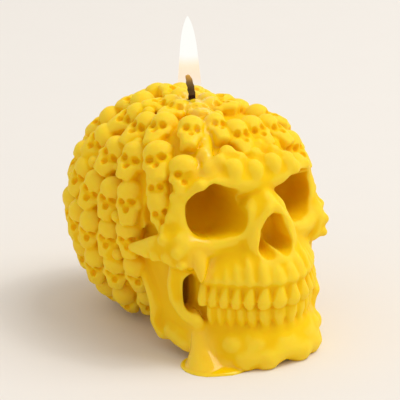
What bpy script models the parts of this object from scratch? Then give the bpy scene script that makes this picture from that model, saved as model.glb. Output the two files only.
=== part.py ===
# A lit beeswax candle cast in the form of a skull, its cranium covered in small skulls.
# The face looks along -Y, the candle stands on Z = 0, and lengths are in millimetres.

import math
import random

import bmesh
import bpy
from mathutils import Matrix, Vector
from mathutils.bvhtree import BVHTree

# Units

MM = 0.001

# Cranium: a large ball behind and two small ones side by side in front, blended into an egg

REAR_CENTRE = (0.0, 19.5, 36.5)
REAR_RADII = (31.8, 33.8, 37.3)
FRONT_CENTRE = (8.5, -6.5, 46.5)
FRONT_RADII = (20.5, 21.5, 26.5)

# Small skulls that cover the cranium. Each row: share of the way up, pitch, skull's width, and the
# compass bearing of its first skull. The forehead's skulls: bearing, share of the way up, width

SMALL_SKULL_WIDTH = 7.8
SMALL_SKULL_HEIGHT = 15.0
SMALL_SKULL_STAND_OFF = 1.1
FILLER_BALL_RADIUS = 2.1
SMALL_SKULL_ROWS = (
    (0.11, 10.0, 9.4, -97), (0.26, 9.8, 9.6, -104), (0.395, 10.0, 9.8, -105), (0.53, 10.8, 10.4, -106),
    (0.66, 12.4, 11.0, -125), (0.785, 10.8, 10.2, -85), (0.90, 10.0, 9.4, -107))
FOREHEAD_SKULLS = (
    (-141, 0.614, 9.8), (141, 0.62, 9.8), (-127, 0.575, 8.4), (127, 0.575, 8.4),
    (-130, 0.50, 7.6), (130, 0.50, 7.6), (-144, 0.757, 8.6), (-166, 0.776, 8.4),
    (180, 0.723, 9.4), (163, 0.727, 8.6), (148, 0.707, 8.6), (130, 0.75, 9.0))

# Face

EYE_CENTRE = (16.0, -29.0, 50.6)
EYE_WIDTH = 18.6
EYE_HEIGHT = 17.2
EYE_DEPTH = 22.0
NOSE_TOP = 49.0
NOSE_FOOT = 36.2
NOSE_WIDTH = 13.4
NOSE_DEPTH = 9.0
ARCH_HALF_WIDTH = 31.5
ARCH_HEIGHT = 36.5

# Teeth: the bite line, and a dental arch y = front + bend * x * x

BITE_HEIGHT = 20.0
DENTAL_FRONT = -46.3
DENTAL_BEND = 0.031
UPPER_GUM = 26.7
LOWER_GUM = 14.5
TOOTH_WIDTHS = (5.6, 5.4, 4.6, 4.0, 4.0, 3.8, 3.6)
ROOT_RISES = (4.5, 6.5, 8.5, 6.5, 5.5, 4.5, 3.5)

# Jaw: how far out the plate behind the cheek stands, its thickness, and the lower edge's height

RAMUS_OUT = 24.0
RAMUS_THICKNESS = 4.4
JAW_FLOOR = 4.0

# Wick, its bore, and the flame

WICK_RADIUS = 1.35
WICK_Y = 7.7
WICK_TIP = (-2.0, 7.7, 85.8)
WICK_CLEARANCE = 0.3
WAX_TOP = 77.0
FLAME_RADIUS = 4.1
FLAME_TIP = 105.4

# Spilt wax

PUDDLE_CENTRE = (-22.0, -32.0)
PUDDLE_RADIUS = 9.2
PUDDLE_THICKNESS = 2.0

# Mesh fineness, and the size of the block that cuts the underside level

COARSE = 0.7
FINE = 0.42
BODY_TRIANGLES = 11500
SLAB_WIDTH = 200.0
SLAB_DEPTH = 40.0


def collection(name):
    made = bpy.data.collections.new(name)
    bpy.context.scene.collection.children.link(made)
    return made


for old in list(bpy.data.objects):
    bpy.data.objects.remove(old, do_unlink=True)
CANDLE = collection("skull_candle")
CUTTERS = collection("cutters")


# Modelling helpers

def unit_ball():
    shape = bmesh.new()
    bmesh.ops.create_icosphere(shape, subdivisions=3, radius=1.0)
    points = [v.co.copy() for v in shape.verts]
    shape.free()
    return points


BALL = unit_ball()


def hull(target, balls):
    """Wrap the balls (x, y, z, radius) in one convex skin and add it to the target."""
    shape = bmesh.new()
    for x, y, z, radius in balls:
        radii = Vector(radius) if isinstance(radius, tuple) else Vector((radius,) * 3)
        for point in BALL:
            shape.verts.new((Vector((x, y, z)) + point * radii) * MM)
    done = bmesh.ops.convex_hull(shape, input=shape.verts, use_existing_faces=False)
    loose = {v for v in done["geom_interior"] + done["geom_unused"]
             if isinstance(v, bmesh.types.BMVert)}
    bmesh.ops.delete(shape, geom=list(loose), context="VERTS")
    bmesh.ops.recalc_face_normals(shape, faces=shape.faces)
    mesh = bpy.data.meshes.new("hull")
    shape.to_mesh(mesh)
    shape.free()
    target.from_mesh(mesh)
    bpy.data.meshes.remove(mesh)


def chain(target, balls):
    """Join each ball to the next, as a sculptor lays a roll of clay."""
    for pair in zip(balls, balls[1:]):
        hull(target, pair)


def both_sides(maker, target, balls):
    """Add the shape and its mirror image in X."""
    for side in (1, -1):
        maker(target, [(side * x, y, z, radius) for x, y, z, radius in balls])


def lumps(target, balls):
    """Add single balls, each with its mirror image."""
    for ball in balls:
        both_sides(hull, target, [ball])


def to_object(shape, name, home):
    mesh = bpy.data.meshes.new(name)
    shape.to_mesh(mesh)
    shape.free()
    made = bpy.data.objects.new(name, mesh)
    home.objects.link(made)
    if home == CUTTERS:
        hide_tool(made)
    return made


def hide_tool(target):
    """Keep a cutter or pattern out of the candle and its renders."""
    target.hide_render = True
    target.display_type = "WIRE"


def modify(target, kind, **settings):
    modifier = target.modifiers.new(kind.title(), kind)
    for key, value in settings.items():
        setattr(modifier, key, value)
    return modifier


def bake(target):
    """Replace the object's mesh by what its modifiers make of it."""
    graph = bpy.context.evaluated_depsgraph_get()
    mesh = bpy.data.meshes.new_from_object(target.evaluated_get(graph))
    target.modifiers.clear()
    target.data = mesh
    return target


def melt_together(target, voxel, rounds):
    """Fuse overlapping shapes into one skin and soften their seams."""
    modify(target, "REMESH", mode="VOXEL", voxel_size=voxel * MM)
    modify(target, "SMOOTH", factor=0.5, iterations=rounds)
    return bake(target)


def cut(target, cutter):
    modify(target, "BOOLEAN", operation="DIFFERENCE", object=cutter)
    return bake(target)


# Cranium, brow, cheekbones and jaw

def dental_point(x, height, inset):
    """A point on the dental arch, moved inwards by the inset."""
    outward = Vector((2 * DENTAL_BEND * x, -1.0, 0.0)).normalized()
    return Vector((x, DENTAL_FRONT + DENTAL_BEND * x * x, height)) - outward * inset


def add_cranium(target):
    x, y, z = FRONT_CENTRE
    hull(target, [(*REAR_CENTRE, REAR_RADII), (x, y, z, FRONT_RADII), (-x, y, z, FRONT_RADII)])


def add_brow(target):
    """The roll of wax around each eye, from the brow out and down to the cheek and the nose."""
    ex, ey, ez = EYE_CENTRE
    out, up = EYE_WIDTH / 2, EYE_HEIGHT / 2
    rim = [
        (0, ey - 0.4, ez + up - 1.4, 3.8),
        (ex - 0.9 * out, ey - 0.6, ez + up - 0.2, 3.4),
        (ex - 0.1 * out, ey + 0.8, ez + up + 0.8, 2.7),
        (ex + 0.6 * out, ey + 4.2, ez + up - 1.4, 2.4),
        (ex + 0.95 * out, ey + 7.6, ez + 0.48 * up, 2.4),
        (ex + 1.08 * out, ey + 8.2, ez, 2.8),
        (ex + 1.05 * out, ey + 6.6, ez - 0.7 * up, 3.2),
        (ex + 0.9 * out, ey + 4.0, ez - up - 2.0, 3.8),
        (ex + 0.3 * out, ey + 0.8, ez - up - 3.2, 3.5),
        (ex - 0.35 * out, ey - 2.2, ez - up - 1.8, 3.2),
        (ex - 0.9 * out, ey - 4.2, ez - 0.72 * up, 2.9),
        (ex - 1.15 * out, ey - 3.6, ez - 0.1 * up, 2.6),
        (0, ey - 0.2, ez + 0.55 * up, 3.2)]
    both_sides(chain, target, rim)
    both_sides(hull, target, [rim[0], rim[2], rim[3], (ex - 2, ey + 14, ez + 6, 6.0)])
    both_sides(hull, target, [rim[4], rim[5], rim[6], (ex + 2, ey + 15, ez, 5.0)])
    slope = [(ex - 13, ey + 5.5, ez + up + 1.8, 4.0), (ex - 4, ey + 6.5, ez + up + 1.8, 4.0),
             (ex + 3, ey + 11.5, ez + up - 0.7, 4.0)]
    both_sides(hull, target, rim[:3] + slope[:2])
    both_sides(hull, target, rim[2:4] + slope[1:])


def add_rim_bumps(target):
    """Soft bumps down the outer side of each eye's rim and over the cheekbone."""
    ex, ey, ez = EYE_CENTRE
    lumps(target, [(ex + x, ey + y, ez + z, r) for x, y, z, r in (
        (10.2, 8.6, 4.4, 2.4), (10.6, 6.8, 1.0, 2.0), (12.0, 8.0, -2.2, 2.6), (13.6, 9.0, -5.8, 2.4),
        (11.6, 4.4, -8.0, 2.8), (4.5, 2.4, 8.8, 2.6))])


def add_nose(target):
    """The bridge of the nose and the raised rim of its opening."""
    ridge = (0, -36.2, NOSE_TOP + 2.9, 2.3)
    side = (NOSE_WIDTH / 2 - 0.9, -34.0, NOSE_TOP - 4, 2.4)
    both_sides(hull, target, [(0, -28.0, NOSE_TOP + 6.5, 3.6), ridge, side, (6, -31, NOSE_TOP - 2, 3)])
    rim = [
        (1.3, -37.2, NOSE_TOP + 2.2, 1.8),
        (NOSE_WIDTH / 2 - 0.4, -36.4, NOSE_TOP - 4.0, 1.8),
        (NOSE_WIDTH / 2 + 1.5, -36.5, NOSE_FOOT + 3.4, 1.9),
        (NOSE_WIDTH / 2 - 1.0, -38.7, NOSE_FOOT - 1.4, 1.9),
        (0, -41.2, NOSE_FOOT - 1.4, 2.0)]
    both_sides(chain, target, rim)
    both_sides(hull, target, [rim[1], rim[2], rim[3], (9, -30, 42, 3.0)])


def add_upper_jaw(target):
    """The upper jaw, from the eyes down to the gum."""
    gum = [dental_point(x, UPPER_GUM + 2.0, 3.6) for x in (0, 6, 12, 17, 21)]
    gum.append(gum[-1] + Vector((0.6, 8, 1.5)))
    band = [(*point, 2.9) for point in gum]
    both_sides(hull, target, band + [(5, -32, 45, 3.0), (13, -28, 39, 4.0), (20, -22, 37, 4.0),
                                     (8, -12, 42, 8.0)])


def add_tooth_backing(target):
    """The blocks of wax behind the upper and the lower teeth."""
    for top, foot, inset in ((UPPER_GUM + 1, BITE_HEIGHT + 1.5, 3.1),
                             (BITE_HEIGHT + 1, LOWER_GUM - 3, 4.3)):
        block = []
        for height in (top, foot):
            block += [(*dental_point(x, height, inset), 1.8) for x in (0, 7, 14, 20)]
            block.append((19.0, -20, height, 2.0))
        both_sides(hull, target, block)


def add_cheek(target):
    """The cheekbone under the eye and the lumpy bar of bone that runs back from it."""
    x, z = ARCH_HALF_WIDTH, ARCH_HEIGHT
    cheek = [(x - 5.5, -25, z + 3.5, 4.0), (x - 7, -25.8, z - 1.5, 3.5), (x - 3.5, -23.2, z - 1.2, 3.0),
             (x - 5, -21, z + 7, 3.2)]
    both_sides(hull, target, cheek)
    bar = [
        (x - 2.0, -22, z + 2.7, (2.6, 3.0, 5.2)),
        (x - 0.4, -16, z + 1.4, (2.4, 3.0, 4.2)),
        (x + 0.3, -10.5, z - 0.3, (2.3, 3.0, 2.9)),
        (x, -5, z - 1.8, (2.1, 2.4, 1.8)),
        (x - 1.2, -1.5, z - 2.8, (1.8, 1.8, 1.2))]
    both_sides(chain, target, bar)
    both_sides(hull, target, [cheek[0], cheek[2], bar[0]])
    lumps(target, [(x + out, y, z + up, r) for out, y, up, r in (
        (1.6, -18.5, -0.9, 1.9), (1.5, -13.2, -1.6, 1.6), (1.5, -8.6, -2.0, 1.3), (0.9, -16.0, 3.1, 1.9),
        (0.1, -21.5, 5.7, 2.2), (-0.1, -23.0, -0.3, 2.2), (-1.9, -26.6, 2.1, 2.3),
        (-2.9, -27.6, -2.1, 2.0), (0.3, -11.5, 1.1, 1.6))])


def add_ramus(target):
    """The plate of bone between the cheekbone and the jaw's corner, with raised edges."""
    x = RAMUS_OUT
    plate = (RAMUS_THICKNESS / 2, 3.0, 3.0)
    levels = [((-1, 30), (-23, 33)), ((-3, 26), (-22.4, 27)), ((-7.6, 21), (-22, 22)),
              ((-10.6, 14.5), (-24.5, 17.5)), ((-10.6, 9.2), (-28, 13.5)), ((-15.5, 6.4), (-27, 7.5))]
    for upper, lower in zip(levels, levels[1:]):
        both_sides(hull, target, [(x, y, z, plate) for y, z in upper + lower])
    both_sides(chain, target, [
        (x + 2.2, -1.6, 27.5, 2.0), (x + 2.5, -3.8, 24.5, 2.0), (x + 2.6, -7.2, 19.8, 2.1),
        (x + 2.6, -9.8, 14.5, 2.2), (x + 2.2, -9.6, 9.8, 2.4), (x + 1.4, -12.6, 6.2, 2.6)])
    both_sides(chain, target, [
        (x + 2.4, -21.2, 32, 2.3), (x + 2.9, -20.2, 26, 2.2), (x + 2.7, -21.4, 21, 2.2),
        (x + 1.8, -25.0, 17.2, 2.2), (x, -29.0, 15.4, 2.2)])


def add_lower_jaw(target):
    """The body of the jaw from its corners to the chin, and the gum that carries the teeth."""
    body = []
    for x, y, lift in ((23.2, -20, 3.2), (21.8, -28, 2.0), (18.0, -35.0, 0.2), (11.5, -41, 0.0),
                       (4.6, -43.2, 0.2), (0, -43.4, 1.6)):
        body.append([(x, y, JAW_FLOOR + lift, 4.2), (x * 0.95, y + 1.8, JAW_FLOOR + 6.8, 3.4)])
    for back, front in zip(body, body[1:]):
        both_sides(hull, target, back + front)
    gum = [(*dental_point(x, LOWER_GUM - 1.2, 4.6), 2.9) for x in (0, 6, 12, 16.5, 20.5)]
    both_sides(hull, target, gum + [body[2][1], body[4][1], body[1][1]])
    lumps(target, [(x, y, JAW_FLOOR + z, r) for x, y, z, r in (
        (6.4, -42.6, -0.6, 5.0), (12.6, -39.6, -0.6, 5.0), (18.4, -35.4, -1.4, 4.8),
        (1.6, -43.0, 4.0, 3.8), (9.0, -41.2, 4.2, 4.0), (15.4, -37.4, 4.0, 3.8),
        (21.6, -30.0, 1.2, 4.2), (23.4, -23.5, 2.0, 3.4), (19.2, -37.2, -2.6, 3.6),
        (24.2, -17.0, 4.0, 3.6))])


def add_core(target):
    """The wax between the jaws and below the cranium, which the mould leaves solid."""
    both_sides(hull, target, [(0, -30, 30, 6), (0, -34, 5, 6), (0, 14, 2, (12, 14, 5)),
                              (14, -22, 5, 5), (13, -18, 32, 5), (0, 6, 30, (20, 14, 10))])


def tooth_places():
    """Each tooth's X along the arch, half its width, and how far its root shows in the bone."""
    x = 0.0
    for width, rise in zip(TOOTH_WIDTHS, ROOT_RISES):
        step = width / math.sqrt(1 + (2 * DENTAL_BEND * (x + width / 2)) ** 2)
        yield x + step / 2, width / 2, rise
        x += step


def add_roots(target):
    """The ridges that the roots raise in the upper jaw and in the chin."""
    for x, w, rise in tooth_places():
        root = dental_point(x * 0.98, UPPER_GUM + 2.2, 1.2)
        both_sides(chain, target, [
            (*root, (w * 0.84, 1.6, 1.6)),
            (root.x * 0.95, root.y + 0.24 * rise, root.z + 0.6 * rise, (w * 0.68, 1.5, 1.4)),
            (root.x * 0.88, root.y + 0.58 * rise, root.z + rise, (w * 0.5, 1.3, 1.0))])
        foot = dental_point(x * 0.93, LOWER_GUM - 0.8, 2.2)
        both_sides(chain, target, [(*foot, (w * 0.7, 1.4, 1.4)),
                                   (foot.x * 0.97, foot.y + 0.6, foot.z - 4.5, (w * 0.6, 1.6, 1.4))])


# Hollows

def eye_cutter(target):
    """Each eye's hollow: a slanted oval mouth over a round cup that narrows far behind. The right
    eye reaches a little higher."""
    ex, ey, ez = EYE_CENTRE
    out, up = EYE_WIDTH / 2, EYE_HEIGHT / 2
    inner = (ex - 0.42 * out, ey - 2.5, ez, (0.56 * out, 3.0, 0.9 * up))
    middle = (ex, ey, ez, (0.6 * out, 3.0, up))
    outer = (ex + 0.42 * out, ey + 2.5, ez - 0.4, (0.58 * out, 3.0, 0.92 * up))
    ahead = [(x + 1.5, y - 8, z, r) for x, y, z, r in (inner, middle, outer)]
    both_sides(hull, target, [inner, middle, outer] + ahead)
    cup = (ex - 1.0, ey + 0.42 * EYE_DEPTH, ez - 0.8, (0.92 * out, 0.36 * EYE_DEPTH, up))
    end = (ex - 4.5, ey + EYE_DEPTH - 5.0, ez + 0.4, 5.0)
    both_sides(hull, target, [inner, middle, outer, cup])
    both_sides(hull, target, [cup, end])
    above = (ex, ey, ez + 1.6, (0.66 * out, 3.0, 0.98 * up))
    hull(target, [(-x, y, z, radii) for x, y, z, radii in (above, cup)])


def nose_cutter(target):
    """The nose's hollow: two lobes with a thin wall left between them, joined in front of it."""
    half = NOSE_WIDTH / 2
    low = NOSE_FOOT + 3.2
    front, back = -44.0, -41.0 + NOSE_DEPTH
    for side in (1, -1):
        lobe = [
            (side * (half - 3.4), front, low, 3.4), (side * 1.6, front, NOSE_TOP - 0.8, 1.6),
            (side * (half - 3.6), back, low + 0.8, 2.7), (side * 1.9, back, NOSE_TOP - 2.0, 1.4)]
        hull(target, lobe)
    hull(target, [(0, front, low + 0.5, 2.8), (0, front, NOSE_TOP - 0.8, 1.6),
                  (0, front + 5.0, low + 2, 2.0), (0, front + 7.5, NOSE_TOP - 1, 1.4)])


def side_cutters(target):
    """Temple behind the eye, the space under the cheekbone, and the gap beside the back teeth."""
    x, z = ARCH_HALF_WIDTH, ARCH_HEIGHT
    both_sides(hull, target, [(x + 2, -10.5, z + 10, (6, 4.5, 6)), (x - 4, -10, z + 9.5, (3.5, 4, 5.5))])
    both_sides(hull, target, [(x - 4.9, -14, z + 3.5, (1.9, 3.5, 4)), (x - 4.3, -6, z + 2.5, (1.7, 4, 3))])
    gap = RAMUS_OUT + 1.8
    both_sides(hull, target, [(gap, -31.5, 27, (2.6, 4, 3.5)), (gap - 4.2, -20.5, 26, (1.6, 4, 3.5)),
                              (gap, -31.5, 20.5, (2.6, 3.5, 2.5)), (gap - 4.2, -20.5, 20, (1.6, 4, 3.0))])


# Small skulls

def small_skull_shape():
    """One small skull, facing -Y, with its eyes and nose pressed in."""
    w, h = SMALL_SKULL_WIDTH / 7.8, SMALL_SKULL_HEIGHT / 15.0
    shape = bmesh.new()
    hull(shape, [(0, 0, 3.1 * h, (3.75 * w, 3.9 * w, 4.2 * h)),
                 (0, 0.2 * w, 0.6 * h, (3.3 * w, 3.2 * w, 2.6 * h))])
    hull(shape, [(0, -2.6 * w, 1.6 * h, (2.6 * w, 1.2 * w, 0.9 * h)), (0, -1.6 * w, 3.6 * h, 2.2 * w)])
    both_sides(hull, shape, [(2.5 * w, -1.2 * w, -1.3 * h, 1.25 * w), (1.6 * w, -0.6 * w, 0.3 * h, 2.0 * w)])
    both_sides(hull, shape, [
        (1.5 * w, -1.7 * w, -2.4 * h, 1.4 * w), (1.15 * w, -2.2 * w, -6.0 * h, 0.95 * w),
        (1.3 * w, 2.0 * w, -5.0 * h, 1.2 * w), (0, -2.4 * w, -2.6 * h, 1.2 * w),
        (0, -2.5 * w, -6.0 * h, 0.9 * w)])
    skull = melt_together(to_object(shape, "small_skull", CUTTERS), 0.3, 3)
    holes = bmesh.new()
    both_sides(hull, holes, [(1.6 * w, -4.2 * w, 0.3 * h, (1.35 * w, 2.6 * w, 1.4 * h))])
    hull(holes, [(0, -3.6 * w, -1.9 * h, (0.95 * w, 1.8 * w, 0.8 * h)),
                 (0, -3.6 * w, -2.8 * h, (0.75 * w, 1.6 * w, 0.5 * h))])
    cut(skull, to_object(holes, "small_holes", CUTTERS))
    modify(skull, "DECIMATE", ratio=0.5)
    return bake(skull)


def in_face(point):
    """True where the face, temple, cheek or jaw takes the place of small skulls."""
    x, y, z = abs(point.x), point.y, point.z
    if z < 30:
        return y < (4.0 if z < 20 else -2.5)
    if z < 41:
        return y < -3
    if z < 58:
        return y < -15 + 0.2 * (z - 41) - 0.3 * (30 - x)
    return y < -29


def meridian(skin, turn):
    """Points up the cranium's skin at one bearing, each with its direction and distance walked."""
    centre = Vector((0, WICK_Y, REAR_CENTRE[2])) * MM
    walked, last = 0.0, None
    for degrees in range(-70, 91):
        tilt = math.radians(degrees)
        aim = Vector((math.sin(turn) * math.cos(tilt), math.cos(turn) * math.cos(tilt), math.sin(tilt)))
        spot, normal, _, _ = skin.ray_cast(centre, aim)
        if last is None and spot.z < 3.5 * MM:
            continue
        if last is not None:
            walked += (spot - last).length
        last = spot
        yield walked, spot, normal


def place_at(skin, bearing, share):
    """The place on the cranium at one bearing, one share of the way from floor to crown."""
    path = list(meridian(skin, math.radians(bearing)))
    return next((spot, normal) for walked, spot, normal in path if walked >= share * path[-1][0])


def row_points(skin, share, pitch, bearing):
    """Evenly spaced places around the cranium, from a first bearing, in one level row."""
    steps = 180
    loop = [place_at(skin, bearing + 360 * n / steps, share) for n in range(steps)]
    lengths = [(loop[n][0] - loop[n - 1][0]).length for n in range(steps)]
    gap = sum(lengths) / max(3, round(sum(lengths) / (pitch * MM)))
    walked, goal = 0.0, 0.0
    for n in range(steps):
        if walked >= goal:
            yield loop[n]
            goal += gap
        walked += lengths[(n + 1) % steps]


def small_skull_places(skin):
    """Where every small skull stands, and how wide it is: in rows, and singly on the forehead."""
    widest = {3: 116, 4: 131, 5: 118}
    for row, (share, pitch, width, bearing) in enumerate(SMALL_SKULL_ROWS):
        for spot, normal in row_points(skin, share, pitch, bearing):
            turn = abs(math.degrees(math.atan2(spot.x, spot.y - WICK_Y * MM)))
            if turn < widest.get(row, 180) and not in_face(spot / MM):
                yield spot, normal, width
    for bearing, share, width in FOREHEAD_SKULLS:
        yield (*place_at(skin, bearing, share), width)


def cover_cranium(target, skin, small):
    """Set the small skulls on the cranium, each upright and looking outwards and ahead."""
    dice = random.Random(7)
    for spot, normal, width in small_skull_places(skin):
        axis = Vector((0, WICK_Y, WAX_TOP)) * MM - spot
        up = (axis - axis.dot(normal) * normal).normalized()
        right = up.cross(normal).normalized()
        turn = Matrix((-right, -normal, up)).transposed().to_4x4()
        lean = Matrix.Rotation(math.radians(dice.uniform(-6, 6)), 4, "Y")
        ahead = Matrix.Rotation(math.radians(24 * spot.x / (REAR_RADII[0] * MM)), 4, "Z")
        size = dice.uniform(0.98, 1.07)
        wide = width / SMALL_SKULL_WIDTH
        scale = Matrix.Diagonal((size * wide, size * (0.5 + 0.5 * wide), size, 1))
        stand = Matrix.Translation(spot + normal * SMALL_SKULL_STAND_OFF * MM)
        copy = small.data.copy()
        copy.transform(stand @ turn @ lean @ ahead @ scale)
        target.from_mesh(copy)
        bpy.data.meshes.remove(copy)
        if dice.random() < 0.5:
            ball = spot + (right * 0.52 * width - up * 4.4 + normal * 1.6) * MM
            hull(target, [(*(ball / MM), FILLER_BALL_RADIUS)])


# Teeth, lumps and melted wax

def add_teeth(target):
    """The crowns: each is widest near the bite, and the third one, the canine, is pointed."""
    for number, (x, w, _) in enumerate(tooth_places()):
        top, edge = dental_point(x, UPPER_GUM, 1.7), dental_point(x, BITE_HEIGHT + 1.3, 1.2)
        tip = 0.5 if number == 2 else 0.8
        both_sides(hull, target, [
            (*top, (w * 0.66, 1.7, 1.4)), (edge.x, edge.y, edge.z + 1.6, (w, 1.6, 1.6)),
            (*edge, (w * tip, 1.3, 1.3))])
        crown = dental_point(x * 0.93, BITE_HEIGHT - 0.8, 2.6)
        foot = dental_point(x * 0.93, LOWER_GUM - 0.5, 2.6)
        both_sides(hull, target, [
            (*crown, (w * 0.84, 1.4, 1.5)), (crown.x, crown.y, crown.z - 2.4, (w * 0.86, 1.5, 1.5)),
            (*foot, (w * 0.55, 1.3, 1.5))])


def add_brow_lumps(target):
    """Drops of wax that run together along the brow. They aren't the same on both sides."""
    ey, top = EYE_CENTRE[1], EYE_CENTRE[2] + EYE_HEIGHT / 2
    for x, y, z, r in (
            (-2.4, -1.6, 3.4, 3.3), (4.8, -0.8, 3.8, 2.9), (-9.8, 0.2, 4.2, 3.1), (11.0, -0.2, 3.0, 2.9),
            (-15.6, 4.6, 4.2, 3.1), (17.4, 2.6, 0.9, 2.7), (-20.2, 8.6, 2.8, 2.5), (22.4, 11.4, 0.8, 2.7),
            (-8.0, 4.4, 7.8, 2.8), (-0.9, 6.0, 8.2, 2.4), (4.8, 5.0, 7.4, 2.7), (12.0, 7.2, 6.0, 2.6),
            (16.0, 10.0, 6.4, 2.7), (-14.6, 8.4, 7.4, 2.5), (13.6, -0.6, 0.6, 2.4), (1.0, 3.0, 5.6, 2.5),
            (8.5, 3.4, 5.2, 2.5), (-5.4, 2.6, 5.4, 2.4), (-12.2, 3.8, 5.6, 2.4)):
        hull(target, [(x, ey + y, top + z, (r, r, r + 0.8))])


def add_spills(target):
    """Runs of melted wax: over the brow, under the eye, down the jaw and into a puddle."""
    chain(target, [(-0.7, 5, 74.6, 3.0), (-5.8, -4, 73.4, 2.6), (-8.7, -12, 71.2, 2.4),
                   (-13.6, -19.6, 67.2, 2.2), (-16.0, -24, 63.6, 2.0)])
    chain(target, [(-22.2, -29.2, 40.2, (4.0, 2.8, 3.4)), (-22.6, -29.6, 36.4, (3.4, 2.8, 3.0)),
                   (-23.2, -30.6, 32.4, 1.9), (-23.4, -31.1, 29.4, 0.7)])
    px, py = PUDDLE_CENTRE
    chain(target, [(px - 0.6, py + 4.5, 17, (2.4, 2.0, 2.0)), (px - 0.6, py + 3, 11, (3.0, 2.4, 3.0)),
                   (px - 0.4, py + 1.6, 6, (4.2, 3.4, 3.0)), (px, py, 1.5, (7.0, 6.2, 2.2))])
    thick = PUDDLE_THICKNESS
    hull(target, [(px, py, 0, (PUDDLE_RADIUS * 0.9, PUDDLE_RADIUS, thick)),
                  (px + 5, py - 1, 0, (PUDDLE_RADIUS * 0.8, PUDDLE_RADIUS * 0.8, thick))])
    hull(target, [(0, WICK_Y, WAX_TOP - 3, (5.5, 5.5, 2.2)), (0, WICK_Y, WAX_TOP - 1.6, 2.0)])


# Underside and bore

def keep_as_cutter(target):
    for home in list(target.users_collection):
        home.objects.unlink(target)
    CUTTERS.objects.link(target)
    hide_tool(target)


def flatten_base(target):
    """Slice the underside off level, as the top of the poured mould."""
    bpy.ops.mesh.primitive_cube_add(size=1.0)
    block = bpy.context.active_object
    block.name = "floor_cut"
    block.scale = Vector((SLAB_WIDTH, SLAB_WIDTH, SLAB_DEPTH)) * MM
    block.location = Vector((0, 0, -SLAB_DEPTH / 2)) * MM
    bpy.ops.object.transform_apply(location=True, rotation=False, scale=True)
    keep_as_cutter(block)
    return cut(target, block)


def drill_bore(target):
    """The round hole that the wick stands in, right through the wax."""
    bpy.ops.mesh.primitive_cylinder_add(vertices=24, radius=(WICK_RADIUS + WICK_CLEARANCE) * MM,
                                        depth=3 * WAX_TOP * MM, location=(0, WICK_Y * MM, 0))
    drill = bpy.context.active_object
    drill.name = "wick_bore"
    keep_as_cutter(drill)
    return cut(target, drill)


def make_wax():
    masses = bmesh.new()
    for add in (add_cranium, add_brow, add_rim_bumps, add_nose, add_upper_jaw, add_tooth_backing,
                add_cheek, add_ramus, add_lower_jaw, add_core, add_roots):
        add(masses)
    wax = melt_together(to_object(masses, "wax_skull", CANDLE), COARSE, 4)
    hollows = bmesh.new()
    for add in (eye_cutter, nose_cutter, side_cutters):
        add(hollows)
    cut(wax, melt_together(to_object(hollows, "hollows", CUTTERS), COARSE, 2))
    melt_together(wax, COARSE * 0.8, 1)

    egg = bmesh.new()
    add_cranium(egg)
    skin = BVHTree.FromBMesh(egg)
    egg.free()
    relief = bmesh.new()
    relief.from_mesh(wax.data)
    cover_cranium(relief, skin, small_skull_shape())
    for add in (add_teeth, add_brow_lumps, add_spills):
        add(relief)
    relief.to_mesh(wax.data)
    relief.free()
    melt_together(wax, FINE, 0)
    modify(wax, "DECIMATE", ratio=BODY_TRIANGLES / (2 * len(wax.data.polygons)))
    bake(wax)
    flatten_base(wax)
    return drill_bore(wax)


# Wick and flame

def smooth_route(points, steps=6):
    """A flowing line through the points, by Catmull and Rom's curve."""
    line = []
    for n in range(len(points) - 1):
        before, start = points[max(n - 1, 0)], points[n]
        end, after = points[n + 1], points[min(n + 2, len(points) - 1)]
        for k in range(steps):
            t = k / steps
            line.append(0.5 * (2 * start + (end - before) * t
                               + (2 * before - 5 * start + 4 * end - after) * t ** 2
                               + (3 * start - before - 3 * end + after) * t ** 3))
    return line + [points[-1]]


def tube(name, points, radius, home):
    """A round rod along the points, with closed ends, as a mesh."""
    curve = bpy.data.curves.new(name, "CURVE")
    curve.dimensions = "3D"
    curve.bevel_depth = radius * MM
    curve.bevel_resolution = 4
    curve.use_fill_caps = True
    spline = curve.splines.new("POLY")
    spline.points.add(len(points) - 1)
    for knot, point in zip(spline.points, points):
        knot.co = (*(point * MM), 1.0)
    rod = bpy.data.objects.new(name, curve)
    home.objects.link(rod)
    bpy.context.view_layer.update()
    graph = bpy.context.evaluated_depsgraph_get()
    mesh = bpy.data.meshes.new_from_object(rod.evaluated_get(graph))
    bpy.data.objects.remove(rod)
    shape = bmesh.new()
    shape.from_mesh(mesh)
    bmesh.ops.remove_doubles(shape, verts=shape.verts, dist=1e-6)
    bmesh.ops.recalc_face_normals(shape, faces=shape.faces)
    bpy.data.meshes.remove(mesh)
    return to_object(shape, name, home)


def wick_route(lift=0.0):
    """From the base straight up to the wax's top, then over in a bend."""
    tip = Vector(WICK_TIP)
    foot = Vector((0, WICK_Y, WAX_TOP))
    rise = tip.z - foot.z
    bend = [foot, foot + Vector((-0.05 * rise, 0, 0.4 * rise)),
            foot + Vector((-0.13 * rise, 0, 0.75 * rise)), tip]
    return [Vector((0, WICK_Y, lift))] + smooth_route(bend)


def make_wick():
    return tube("wick", wick_route(), WICK_RADIUS, CANDLE)


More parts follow.
